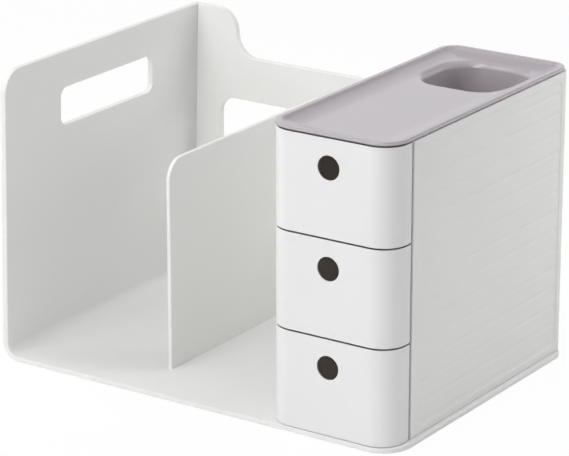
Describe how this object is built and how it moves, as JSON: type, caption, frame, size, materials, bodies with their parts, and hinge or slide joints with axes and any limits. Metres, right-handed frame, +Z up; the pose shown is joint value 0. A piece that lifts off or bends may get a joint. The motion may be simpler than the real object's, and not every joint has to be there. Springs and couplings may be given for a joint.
{
  "type": "desk organizer with drawers",
  "caption": "White desktop book stand with a handle slot and a divider, joined to a narrow drawer cabinet under a taupe tray with a pen cup.",
  "frame": {"origin": "middle of the footprint, on the surface the rubber feet stand on", "axes": "+X from the book stand's handle end to the drawer cabinet, +Y from the drawer fronts to the rear, +Z up"},
  "size_m": [0.3166, 0.225, 0.208],
  "materials": {
    "white_shell": "fine satin moulding",
    "white_drawer": "smooth satin moulding",
    "taupe_tray": "soft satin moulding",
    "grey_rubber": "matt"
  },
  "bodies": {
    "stand": {"base_and_end_panel": "white_shell", "back_panel": "white_shell", "divider": "white_shell", "cabinet_inner_wall": "white_shell", "cabinet_outer_wall": "white_shell", "cabinet_rear_wall": "white_shell", "lower_shelf": "white_shell", "upper_shelf": "white_shell", "top_tray": "taupe_tray", "rubber_feet": "grey_rubber"},
    "bottom_drawer": {"bottom_drawer_front": "white_drawer", "bottom_drawer_box": "white_drawer"},
    "middle_drawer": {"middle_drawer_front": "white_drawer", "middle_drawer_box": "white_drawer"},
    "top_drawer": {"top_drawer_front": "white_drawer", "top_drawer_box": "white_drawer"}
  },
  "joints": [
    {"name": "bottom_drawer_slide", "type": "slide", "parent": "stand", "child": "bottom_drawer", "axis": [0, -1, 0], "range_m": [0, 0.105]},
    {"name": "middle_drawer_slide", "type": "slide", "parent": "stand", "child": "middle_drawer", "axis": [0, -1, 0], "range_m": [0, 0.105]},
    {"name": "top_drawer_slide", "type": "slide", "parent": "stand", "child": "top_drawer", "axis": [0, -1, 0], "range_m": [0, 0.105]}
  ]
}
